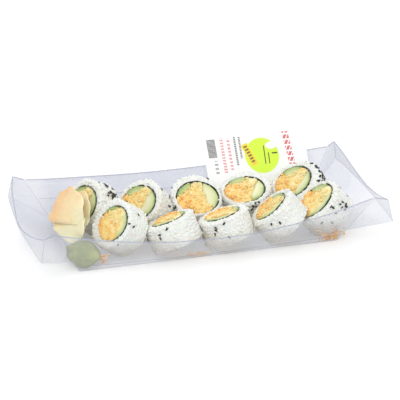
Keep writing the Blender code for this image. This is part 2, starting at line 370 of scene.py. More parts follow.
@dataclass(frozen=True)
class PrintedCard:
    """White card with fields of colour, bars and blocks printed on its front.

    Places are in millimetres: x along the card, y down from its top edge.
    """

    name: str = "printed_card"
    white: tuple = (0.96, 0.97, 0.965)
    pale: tuple = (0.93, 0.95, 0.93)
    black: tuple = (0.035, 0.035, 0.04)
    red: tuple = (0.74, 0.035, 0.06)
    lime: tuple = (0.70, 0.96, 0.06)
    yellow: tuple = (0.93, 0.74, 0.06)
    black_bars: tuple = (Bars((3.6, 10.4, 3.4, 19.0), 1.0, 0.72, 0.3),
                         Bars((7.2, 10.0, 21.5, 33.0), 3.4, 0.5, 0.0, 0.6),
                         Bars((25.2, 26.9, 3.2, 26.5), 1.5, 0.6),
                         Bars((29.0, 30.6, 3.2, 21.0), 1.2, 0.6))
    red_bars: tuple = (Bars((14.2, 16.8, 3.0, 32.0), 2.4, 0.62, 1.0),
                       Bars((19.8, 22.0, 4.0, 30.0), 2.9, 0.60, 1.0))
    blocks: tuple = ((48.2, 49.0, 12.0, 27.0), (51.4, 52.2, 18.0, 27.0),
                     (54.6, 59.0, 18.0, 19.2))
    strip_middle: tuple = (36.5, 18.5)
    strip_turn: tuple = (0.92, 0.38)

    @staticmethod
    def repeat(along: Value, pitch: float, share: float) -> Value:
        """Repeated bars: 1 over a share of each pitch."""
        return (along / pitch).alone("FRACT") < share

    @staticmethod
    def block(x: Value, y: Value, box: tuple) -> Value:
        """1 inside a box given as low x, high x, low y and high y."""
        return (x > box[0]) * (x < box[1]) * ((y > box[2]) * (y < box[3]))

    @staticmethod
    def disc(x: Value, y: Value, centre: tuple, radii: tuple) -> Value:
        """1 inside an oval, with a soft edge."""
        a, b = (x - centre[0]) / radii[0], (y - centre[1]) / radii[1]
        return 1.0 - ((a * a + b * b) ** 0.5 * 14.0 - 13.5).most(0.0).least(1.0)

    def bars(self, deck: Deck, x: Value, y: Value, rows: tuple) -> Value:
        """Several boxes of bars.

        Args:
            deck: the material.
            x: place along the card.
            y: place down the card.
            rows: the Bars to print.

        Returns:
            How strongly any of them prints.
        """
        printed, jitter = None, deck.noise(1.3, 1.0)
        for row in rows:
            one = self.block(x, y, row.box) * row.strength
            one = one * self.repeat(y + jitter * row.uneven, row.pitch, row.share)
            printed = one if printed is None else printed.most(one)
        return printed

    def make(self) -> bpy.types.Material:
        """Dress the card.

        Returns:
            The material.
        """
        deck = Deck(self.name)
        x, y = deck.mark("card_x"), deck.mark("card_y")
        front = deck.mark("card_front") > 0.5
        (left, top), (c, s) = self.strip_middle, self.strip_turn
        across, down = (x - left) * c - (y - top) * s, (x - left) * s + (y - top) * c
        strip = self.block(across, down, (-2.8, 2.8, -9.5, 9.5))
        ticks = self.block(across, down, (-1.5, 1.5, -8.0, 8.0)) * self.repeat(down, 2.6, 0.6)
        lean = x - y * 0.13
        column = self.block(lean, y, (64.0, 69.0, 2.0, 29.0)) * self.repeat(y, 4.6, 0.7)
        column = column * self.repeat(lean * 0.8 + y * 0.5, 2.6, 0.72)
        dark = self.bars(deck, x, y, self.black_bars).most(ticks * 0.85)
        for box in self.blocks:
            dark = dark.most(self.block(x, y, box))
        colour = self.white
        for share, ink in ((self.disc(x, y, (46.4, 20.0), (13.8, 14.4)), self.lime),
                           (strip, self.yellow),
                           (self.disc(x, y, (54.6, 12.2), (4.6, 3.0)), self.pale),
                           (self.bars(deck, x, y, self.red_bars) * 0.62, self.red),
                           (column * 0.85, self.red), (dark * 0.92, self.black)):
            colour = deck.blend(share * front, colour, ink)
        fine = deck.noise(0.6, 3.0)
        return deck.surface(Base_Color=colour, Roughness=fine * 0.12 + 0.38,
                            Normal=deck.bump(fine, 0.03, 0.4), Coat_Weight=0.12)


@dataclass(frozen=True)
class PaleFloor:
    """Plain pale studio floor that glows a little, so that shadows stay soft."""

    name: str = "pale_floor"
    tint: tuple = (0.65, 0.65, 0.65)
    paler: tuple = (0.67, 0.67, 0.67)
    glow: float = 0.34

    def make(self) -> bpy.types.Material:
        """Dress the floor.

        Returns:
            The material.
        """
        deck = Deck(self.name)
        colour = deck.blend(deck.noise(40.0, 2.0), self.tint, self.paler)
        return deck.surface(Base_Color=colour, Roughness=0.9,
                            Emission_Color=(1.0, 1.0, 1.0), Emission_Strength=self.glow)


class Finish(Enum):
    """Every finish used, built once."""

    SHEET = ClearPlastic()
    EDGE = SheetEdge("clear_sheet_rim", (0.34, 0.36, 0.46), 0.28)
    FOLD = SheetEdge("clear_sheet_soft_fold", (0.50, 0.53, 0.64), 0.0)
    PRESSED = SheetEdge("clear_sheet_pressed_fold", (0.38, 0.40, 0.50), 0.16)
    RICE = DampRice(
        "cooked_rice", (6.0, 2.0), 0.4, "tone", 0.6,
        ((0.0, (0.76, 0.735, 0.66)), (0.45, (0.86, 0.85, 0.80)), (1.0, (0.89, 0.89, 0.86))),
        (0.5, 3.0, 0.6), (0.25, 0.32), (0.06, 0.6), (0.12, 0.0015), (0.10, 0.25))
    NORI = MottledFood(
        "seaweed", (2.4, 4.0, 0.65), 1.0, "tone", 0.0,
        ((0.25, (0.006, 0.010, 0.007)), (0.6, (0.020, 0.030, 0.014)),
         (0.9, (0.055, 0.075, 0.028))),
        (0.7, 4.0, 0.7), (0.3, 0.28), (0.2, 0.8), coat=(0.15, 0.03))
    MIX = MottledFood(
        "orange_shreds", (3.2, 3.0, 0.6), 0.42, "tone", 0.62,
        ((0.08, (0.91, 0.84, 0.52)), (0.32, (0.94, 0.77, 0.34)), (0.60, (0.96, 0.65, 0.21)),
         (0.82, (0.93, 0.46, 0.11)), (1.0, (0.80, 0.23, 0.045))),
        (0.45, 3.0, 0.6), (0.25, 0.25), (0.10, 0.7), (0.10, 0.002), (0.22, 0.2))
    AVOCADO = MottledFood(
        "avocado_flesh", (5.0, 2.0), 0.3, "rind", 0.8,
        ((0.15, (0.80, 0.80, 0.53)), (0.60, (0.75, 0.76, 0.47)), (0.86, (0.61, 0.68, 0.33)),
         (1.0, (0.38, 0.48, 0.17))),
        (1.2, 3.0, 0.5, 0.6), (0.2, 0.3), (0.12, 0.6), (0.10, 0.002), (0.15, 0.3))
    GREEN = MottledFood(
        "green_slice", (1.6, 3.0, 0.6, 1.5), 0.35, "rind", 0.75,
        ((0.12, (0.72, 0.76, 0.45)), (0.52, (0.60, 0.66, 0.32)), (0.84, (0.40, 0.50, 0.17)),
         (1.0, (0.11, 0.17, 0.04))),
        (1.6, 3.0, 0.6, 1.5), (0.2, 0.25), (0.15, 0.6), coat=(0.25, 0.2))
    SEEDS = MottledFood(
        "black_sesame", (0.3, 3.0, 0.6), 0.3, "tone", 0.7,
        ((0.2, (0.006, 0.005, 0.005)), (0.7, (0.022, 0.018, 0.015)),
         (1.0, (0.060, 0.048, 0.038))),
        (0.3, 3.0, 0.6), (0.2, 0.35), (0.05, 0.8))
    GINGER = PickledGinger()
    WASABI = MottledFood(
        "wasabi_paste", (4.0, 4.0, 0.6), 0.7, "tone", 0.4,
        ((0.2, (0.15, 0.185, 0.015)), (0.45, (0.25, 0.29, 0.035)), (0.75, (0.42, 0.45, 0.10))),
        (0.8, 4.0, 0.7), (0.2, 0.45), (0.3, 0.8), coat=(0.08, 0.03))
    CARD = PrintedCard()
    FLOOR = PaleFloor()

    def material(self) -> bpy.types.Material:
        """Return the finish's material, made at its first use."""
        return bpy.data.materials.get(self.value.name) or self.value.make()


# ================================================================================= shape helpers
def lumps(points: Array, size: float, seed: int, waves: int = 9) -> Array:
    """Smooth bumps from -1 to 1: a mean of sine waves in seeded directions, about size across.

    Args:
        points: places, in millimetres, in the last axis.
        size: width of a bump.
        seed: picks the directions.
        waves: number of waves summed.

    Returns:
        One number for each point.
    """
    rng = np.random.default_rng(seed)
    ways = rng.normal(size=(waves, 3))
    ways *= (math.pi / size) * rng.uniform(0.6, 1.4, (waves, 1)) / np.linalg.norm(
        ways, axis=1, keepdims=True)
    return np.sin(points @ ways.T + rng.uniform(0, 2 * math.pi, waves)).mean(-1) * 1.8


def smooth(value: Array, low: float, high: float) -> Array:
    """Rise from 0 at low to 1 at high along an S."""
    t = np.clip((value - low) / (high - low), 0.0, 1.0)
    return t * t * (3 - 2 * t)


def line(a: Array, b: Array, t: Array) -> Array:
    """Places at shares t of the way from a to b."""
    return a * (1 - t) + b * t


def angles(count: int) -> Array:
    """Evenly spaced angles of one turn, in radians."""
    return np.linspace(0, 2 * math.pi, count, endpoint=False)


def around(radius: Array, angle: Array, z: Array) -> Array:
    """Places at a radius and an angle about the Z axis, and at a height."""
    return np.stack([radius * np.cos(angle), radius * np.sin(angle), z + 0 * angle], -1)


def unit(vectors: Array) -> Array:
    """Vectors in the last axis, brought to length one."""
    return vectors / np.linalg.norm(vectors, axis=-1, keepdims=True)


def drawn(rng: np.random.Generator, spans: tuple, count: int) -> Array:
    """Random numbers: one column for each span of low and high."""
    return np.stack([rng.uniform(*span, count) for span in spans], -1)


def fan(hub: int, ring: Array) -> list:
    """Triangles from a hub to each side of a closed ring, given as indices."""
    return np.stack([np.full(len(ring), hub), ring, np.roll(ring, -1)], -1).tolist()


def quads(rows: int, columns: int, start: int = 0, closed: bool = False) -> Array:
    """Faces of a grid of points.

    Args:
        rows: points down the grid.
        columns: points across it.
        start: index of the first point.
        closed: joins the last column to the first.

    Returns:
        The faces, as rows of four indices.
    """
    i, j = np.meshgrid(np.arange(rows - 1), np.arange(columns if closed else columns - 1),
                       indexing="ij")
    k = (j + 1) % columns
    return (np.stack([i * columns + j, i * columns + k, (i + 1) * columns + k,
                      (i + 1) * columns + j], -1).reshape(-1, 4) + start)


def round_faces(rows: int, columns: int) -> Array:
    """Faces of a closed section carried all the way round.

    Args:
        rows: points of the section.
        columns: places round.

    Returns:
        The faces, as rows of four indices.
    """
    index = np.arange(rows * columns).reshape(rows, columns)
    below, ahead = np.roll(index, -1, 0), np.roll(index, -1, 1)
    return np.stack([index, ahead, np.roll(below, -1, 1), below], -1).reshape(-1, 4)


def pebble() -> tuple[Array, Array]:
    """Small ball of 24 faces: a cube with each face in four, its points moved to length one.

    Returns:
        Points and faces.
    """
    grid = np.array([[x, y, z] for x in (-1, 0, 1) for y in (-1, 0, 1) for z in (-1, 0, 1)
                     if (x, y, z) != (0, 0, 0)], float)
    index = {tuple(p): i for i, p in enumerate(grid.astype(int).tolist())}
    faces = []
    for axis in range(3):
        a, b = (axis + 1) % 3, (axis + 2) % 3
        for side in (-1, 1):
            for u in (-1, 0):
                for v in (-1, 0):
                    ring = []
                    for du, dv in ((0, 0), (1, 0), (1, 1), (0, 1))[::side]:
                        p = [0, 0, 0]
                        p[axis], p[a], p[b] = side, u + du, v + dv
                        ring.append(index[tuple(p)])
                    faces.append(ring)
    return unit(grid), np.array(faces)


PEBBLE, PEBBLE_FACES = pebble()


def scatter(centres: Array, axes: Array, sizes: Array, bend: Array | None = None,
            taper: float = 0.0) -> tuple[Array, Array]:
    """Copy the pebble to many places: each copy is stretched by its sizes, bent along its first
    axis by bend times the square of the distance, narrowed by taper towards its end, and turned.

    Args:
        centres: places, one row each.
        axes: three directions for each copy.
        sizes: half sizes along the three directions.
        bend: rise per millimetre squared, or none.
        taper: share by which one end is narrower.

    Returns:
        Points and faces of all the copies.
    """
    shape = PEBBLE[None] * sizes[:, None]
    if taper:
        narrow = 1.0 - taper * (PEBBLE[None, :, :1] + 1.0) / 2.0
        shape[..., 1:] = shape[..., 1:] * narrow
    if bend is not None:
        shape[..., 2] += bend[:, None] * shape[..., 0] ** 2
    points = np.einsum("nvi,nij->nvj", shape, axes) + centres[:, None]
    count = len(centres)
    faces = PEBBLE_FACES[None] + (np.arange(count) * len(PEBBLE))[:, None, None]
    return points.reshape(-1, 3), faces.reshape(-1, 4)


def frames(normals: Array, turns: Array) -> Array:
    """Axes of pieces that lie on a face.

    Args:
        normals: the face's direction at each piece, of length one: each piece's third axis.
        turns: how far each piece's first axis is turned about it, in radians.

    Returns:
        Three axes for each piece.
    """
    spare = np.where(np.abs(normals[:, 2:]) < 0.9, [[0.0, 0.0, 1.0]], [[1.0, 0.0, 0.0]])
    first = unit(np.cross(spare, normals))
    second = np.cross(normals, first)
    c, s = np.cos(turns)[:, None], np.sin(turns)[:, None]
    return np.stack([first * c + second * s, second * c - first * s, normals], 1)


def tube(path: Array, radius: float, sides: int = 8) -> tuple[Array, Array]:
    """Round bar along a path: a circle carried along it, square to its direction and shrunk to a
    point at both ends.

    Args:
        path: points along its middle.
        radius: the circle's radius.
        sides: points round the circle.

    Returns:
        Points and faces.
    """
    way = unit(np.gradient(path, axis=0))
    side = unit(np.cross(way, [0.3, 0.2, 0.93]))
    other = np.cross(way, side)
    t = angles(sides)
    swell = np.ones(len(path))
    swell[[0, -1]] = 0.0
    ring = np.cos(t)[None, :, None] * side[:, None] + np.sin(t)[None, :, None] * other[:, None]
    points = path[:, None] + ring * radius * swell[:, None, None]
    return points.reshape(-1, 3), quads(len(path), sides, closed=True)


def make_piece(name: str, points: Array, faces: object, finish: Finish,
               replaced: tuple = (), marks: dict | None = None, weld: float = 0.0,
               sharp: float = 180.0) -> bpy.types.Object:
    """Make one visible piece and tell the frame about it.

    Args:
        name: the piece's name.
        points: its points, in millimetres.
        faces: its faces, as rows of indices.
        finish: its finish.
        replaced: the frame nodes it stands for.
        marks: numbers carried at each vertex, by name.
        weld: distance under which points are joined, in millimetres.
        sharp: edges that turn by more than this angle stay crisp.

    Returns:
        The new object.
    """
    mesh = bpy.data.meshes.new(name)
    rows = faces.tolist() if isinstance(faces, np.ndarray) else faces
    mesh.from_pydata((points * MM).tolist(), [], rows)
    for key, values in (marks or {}).items():
        layer = mesh.attributes.new(key, "FLOAT", "POINT")
        layer.data.foreach_set("value", np.asarray(values, np.float32).ravel())
    if weld:
        work = bmesh.new()
        work.from_mesh(mesh)
        bmesh.ops.remove_doubles(work, verts=work.verts, dist=weld * MM)
        bmesh.ops.recalc_face_normals(work, faces=work.faces)
        work.to_mesh(mesh)
        work.free()
    mesh.shade_smooth()
    if sharp < 180.0:
        mesh.set_sharp_from_angle(angle=math.radians(sharp))
    mesh.materials.append(finish.material())
    piece = bpy.data.objects.new(name, mesh)
    bpy.context.scene.collection.objects.link(piece)
    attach(piece, BODY)
    if replaced:
        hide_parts(*replaced)
    LOG.info("%s: %d points", name, len(mesh.vertices))
    return piece


@dataclass
class Seat:
    """Where a frame node lies: its centre and its right, up and outward directions."""

    centre: Array
    axes: Array

    @staticmethod
    def of(node: str) -> "Seat":
        """Read the place of a round node that is wider than it is long.

        Its outward direction is the one along which its points spread least, turned upward.

        Args:
            node: the frame node.

        Returns:
            Its seat.
        """
        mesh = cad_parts[node].data
        points = np.zeros(len(mesh.vertices) * 3)
        mesh.vertices.foreach_get("co", points)
        points = np.unique(np.round(points.reshape(-1, 3) / MM, 4), axis=0)
        centre = points.mean(0)
        face = np.linalg.svd(points - centre, full_matrices=False)[2][2]
        face = face * np.sign(face[2])
        right = unit(np.cross([0.0, 0.0, 1.0], face))
        return Seat(centre, np.array([right, np.cross(face, right), face]))

    def out(self, points: Array) -> Array:
        """Carry points from the seat's own axes to the frame's."""
        return points @ self.axes + self.centre


# ========================================================================================= tray
@dataclass
class Tray:
    """Clear tray folded from one sheet, with a pinched ear at each corner."""

    length: float = 202.0
    width: float = 75.2
    thickness: float = 0.42
    crease_top: tuple = (22.0, 15.5, 39.0)
    ear_top: tuple = (30.3, 22.7, 39.6)
    ear_tip: tuple = (33.6, 26.2, 22.8)
    split: float = 0.24
    front_rim: tuple = (24.0, 24.8)
    back_rim: tuple = (25.5, 29.5)
    end_fold: tuple = (37.0, 23.0)
    end_lip: float = 2.4
    low_rows: int = 3
    high_rows: int = 9
    ear_columns: int = 7
    long_columns: int = 73
    end_columns: int = 33
    rim_radius: float = 0.42
    fold_radius: float = 0.25
    base_rise: float = 0.35
    lowest: float = -0.2
    long_press: float = 0.12
    back_press: float = 0.62

    def corner(self, sx: float, sy: float, offset: tuple = (0.0, 0.0, 0.0)) -> Array:
        """Base corner moved outward by an offset."""
        return np.array([sx * (self.length / 2 + offset[0]), sy * (self.width / 2 + offset[1]),
                         offset[2]])

    def base_edge(self, sy: float, u: Array) -> Array:
        """Places at shares u along a long edge of the base."""
        return line(self.corner(-1, sy), self.corner(1, sy), u[:, None])

    def levels(self) -> Array:
        """Shares up a crease, closer together at its foot, with one at the split."""
        return np.concatenate([np.linspace(0, self.split, self.low_rows)[:-1],
                               np.linspace(self.split, 1.0, self.high_rows)])

    def long_rim(self, sy: float, u: Array) -> Array:
        """Rim of a long wall: a dip that falls with the square of the share from the middle.

        Args:
            sy: -1 for the front wall, 1 for the back one.
            u: shares along the wall.

        Returns:
            Points.
        """
        out, height = self.front_rim if sy < 0 else self.back_rim
        q = (2 * u - 1) ** 2
        x = (2 * u - 1) * (self.length / 2 + self.crease_top[0])
        y = sy * (self.width / 2 + out + (self.crease_top[1] - out) * q)
        return np.stack([x, y, height + (self.crease_top[2] - height) * q], -1)

    def long_wall(self, sy: float) -> Array:
        """Long wall: straight lines from the base edge to the dipped rim.

        Args:
            sy: -1 for the front wall, 1 for the back one.

        Returns:
            A grid of points.
        """
        u = np.linspace(0, 1, self.long_columns)
        return line(self.base_edge(sy, u)[None], self.long_rim(sy, u)[None],
                    self.levels()[:, None, None])

    def ear_face(self, sx: float, sy: float) -> Array:
        """Ear: straight lines from the crease to the ear's outer edge.

        Args:
            sx: -1 for the left end, 1 for the right one.
            sy: -1 for the front, 1 for the back.

        Returns:
            A grid of points.
        """
        v = self.levels()[self.low_rows - 1:, None]
        near = line(self.corner(sx, sy), self.corner(sx, sy, self.crease_top), v)
        w = np.linspace(0, 1, self.high_rows)[:, None]
        far = line(self.corner(sx, sy, self.ear_tip), self.corner(sx, sy, self.ear_top), w)
        t = np.linspace(0, 1, self.ear_columns)[None, :, None]
        return line(near[:, None], far[:, None], t)

    def end_curve(self, sx: float, w: Array, lip: int) -> Array:
        """Fold or rim of an end: a bow outward, with the square of the share from the middle, that
        sags in the middle.

        Args:
            sx: -1 for the left end, 1 for the right one.
            w: shares along it.
            lip: 0 for the fold, 1 for the rim.

        Returns:
            Points.
        """
        side = 2 * w - 1
        low = self.corner(sx, 1, self.ear_tip if lip == 0 else self.ear_top)
        bow = 1 - side ** 2
        sag = bow if lip == 0 else 1 - np.abs(side) ** 1.7
        out = sx * (self.length / 2 + self.end_fold[0])
        height = self.end_fold[1] + lip * self.end_lip
        return np.stack([low[0] + (out - low[0]) * bow, low[1] * side,
                         low[2] + (height - low[2]) * sag], -1)

    def end_panel(self, sx: float) -> Array:
        """Flared end: straight lines from the base edge to the end fold, pulled at both sides to
        the ear's lower fold by a share that falls with the third power towards the middle.

        Args:
            sx: -1 for the left end, 1 for the right one.

        Returns:
            A grid of points.
        """
        foot, tip = self.corner(sx, -1), self.corner(sx, -1, self.ear_tip)
        split = line(foot, self.corner(sx, -1, self.crease_top), self.split)
        a = np.linspace(0, 1, self.low_rows)[:, None]
        b = np.linspace(0, 1, self.ear_columns)[1:, None]
        side = np.concatenate([line(foot, split, a), line(split, tip, b)])
        share = np.linalg.norm(side - foot, axis=1) / np.linalg.norm(tip - foot)
        w = np.linspace(0, 1, self.end_columns)
        low = line(self.corner(sx, -1), self.corner(sx, 1), w[:, None])
        plain = line(low[None], self.end_curve(sx, w, 0)[None], share[:, None, None])
        shift = side - line(foot, tip, share[:, None])
        fade = np.abs(2 * w - 1) ** 3
        flip = np.stack([np.ones_like(w), np.sign(0.5 - w), np.ones_like(w)], -1)
        return plain + shift[:, None] * (fade[:, None] * flip)[None]

    def end_lip_grid(self, sx: float) -> Array:
        """Lip above the end fold, tall at the ears and low in the middle."""
        w = np.linspace(0, 1, self.end_columns)
        t = np.linspace(0, 1, self.high_rows)[:, None, None]
        return line(self.end_curve(sx, w, 0)[None], self.end_curve(sx, w, 1)[None], t)

    def floor_grid(self) -> Array:
        """Base: flat at its edges, raised towards the middle by a parabola both ways.

        Returns:
            A grid of points.
        """
        u = np.linspace(-1, 1, self.long_columns)[None, :]
        v = np.linspace(-1, 1, self.end_columns)[:, None]
        rise = self.base_rise * (1 - u ** 2) * (1 - v ** 2)
        return np.stack([u * self.length / 2 + v * 0, v * self.width / 2 + u * 0, rise], -1)

    def buckle(self, points: Array) -> Array:
        """Push points sideways by soft waves that grow with height, as thin sheet does.

        Args:
            points: places.

        Returns:
            The places moved.
        """
        grow = smooth(points[:, 2], 1.0, 16.0)
        wave = lumps(points, 30.0, 5) * 0.45 + lumps(points, 11.0, 8) * 0.16
        side = np.sign(points[:, :1]) * smooth(np.abs(points[:, :1]), 104.0, 118.0)
        front = np.sign(points[:, 1:2]) * smooth(np.abs(points[:, 1:2]), 36.0, 40.0)
        moved = points.copy()
        moved[:, :1] += side * (wave * grow)[:, None]
        moved[:, 1:2] += front * (wave * grow)[:, None] * (1 - np.abs(side) * 0.5)
        return moved

    def sheet(self) -> bpy.types.Object:
        """Build the sheet: all panels joined at their folds, then given its thickness.

        Returns:
            The sheet.
        """
        grids = [self.floor_grid()] + [self.long_wall(sy) for sy in SIDES]
        grids += [self.ear_face(sx, sy) for sx, sy in CORNERS]
        grids += [self.end_panel(sx) for sx in SIDES] + [self.end_lip_grid(sx) for sx in SIDES]
        points, faces, start = [], [], 0
        for grid in grids:
            faces.append(quads(grid.shape[0], grid.shape[1], start))
            points.append(grid.reshape(-1, 3))
            start += grid.shape[0] * grid.shape[1]
        joined = self.buckle(np.concatenate(points))
        # Painted shade mark: rises from the front wall to the back wall, held part way at the ends
        # and lowered on the base, to darken the sheet's tint as shade.
        rear = smooth(joined[:, 1], -46.0, 18.0)
        ends = smooth(np.abs(joined[:, 0]), 101.0, 116.0)
        rear = rear * (1.0 - 0.5 * ends) + 0.12 * ends
        rear = rear * (0.35 + 0.65 * smooth(joined[:, 2], 0.5, 6.0))
        piece = make_piece("tray_sheet", joined, np.concatenate(faces), Finish.SHEET,
                           ("tray",), {"rear": rear}, weld=0.03, sharp=24.0)
        wall = piece.modifiers.new("thickness", "SOLIDIFY")
        wall.thickness = self.thickness * MM
        wall.offset = 0.0
        return piece

    def bars(self, paths: list, radius: float) -> tuple[Array, Array]:
        """Join round bars along several paths.

        Args:
            paths: the paths.
            radius: the bars' radius.

        Returns:
            Points and faces.
        """
        points, faces, start = [], [], 0
        for path in paths:
            p, f = tube(self.buckle(path), radius)
            points.append(p)
            faces.append(f + start)
            start += len(p)
        joined = np.concatenate(points)
        joined[:, 2] = np.maximum(joined[:, 2], self.lowest)
        return joined, np.concatenate(faces)

    def rim_paths(self) -> list:
        """Paths round the cut edge.

        Returns:
            The long rims, ear tops and end rims.
        """
        t = np.linspace(0, 1, 10)[:, None]
        paths = [self.long_rim(sy, np.linspace(0, 1, 90)) for sy in SIDES]
        paths += [line(self.corner(sx, sy, self.crease_top), self.corner(sx, sy, self.ear_top), t)
                  for sx, sy in CORNERS]
        return paths + [self.end_curve(sx, np.linspace(0, 1, 60), 1) for sx in SIDES]

    def fold_paths(self) -> list:
        """Paths along the soft folds.

        Returns:
            The creases and the ears' own folds.
        """
        t = np.linspace(0, 1, 24)[:, None]
        paths = []
        for sx, sy in CORNERS:
            foot, top = self.corner(sx, sy), self.corner(sx, sy, self.crease_top)
            paths.append(line(foot, top, t))
            paths.append(line(line(foot, top, self.split), self.corner(sx, sy, self.ear_tip), t))
        return paths

    def pressed_paths(self) -> list:
        """Paths along the sharp folds.

        Returns:
            The base edges, long pressed lines, end folds and ear edges.
        """
        t, u = np.linspace(0, 1, 24)[:, None], np.linspace(0, 1, 90)
        paths = [line(self.base_edge(sy, u), self.long_rim(sy, u), share)
                 for sy, share in ((-1, 0.0), (-1, self.long_press), (1, 0.0),
                                   (1, self.long_press), (1, self.back_press))]
        for sx in SIDES:
            paths.append(line(self.corner(sx, -1), self.corner(sx, 1), t))
            paths.append(self.end_curve(sx, np.linspace(0, 1, 60), 0))
        return paths + [line(self.corner(sx, sy, self.ear_tip),
                             self.corner(sx, sy, self.ear_top), t) for sx, sy in CORNERS]

    def build(self) -> None:
        """Build the sheet, its rolled rim and its fold lines."""
        self.sheet()
        for name, paths, radius, finish in (
                ("tray_rim", self.rim_paths(), self.rim_radius, Finish.EDGE),
                ("tray_soft_folds", self.fold_paths(), self.fold_radius, Finish.FOLD),
                ("tray_pressed_folds", self.pressed_paths(), self.fold_radius, Finish.PRESSED)):
            points, faces = self.bars(paths, radius)
            make_piece(name, points, faces, finish, weld=0.001)


# ======================================================================================== rolls
@dataclass
class SeedPatch:
    """Seeds thrown on one side of a roll: how many, round which angle and at which depth."""

    count: int
    angle: float
    angle_spread: float
    depth: float
    depth_spread: float


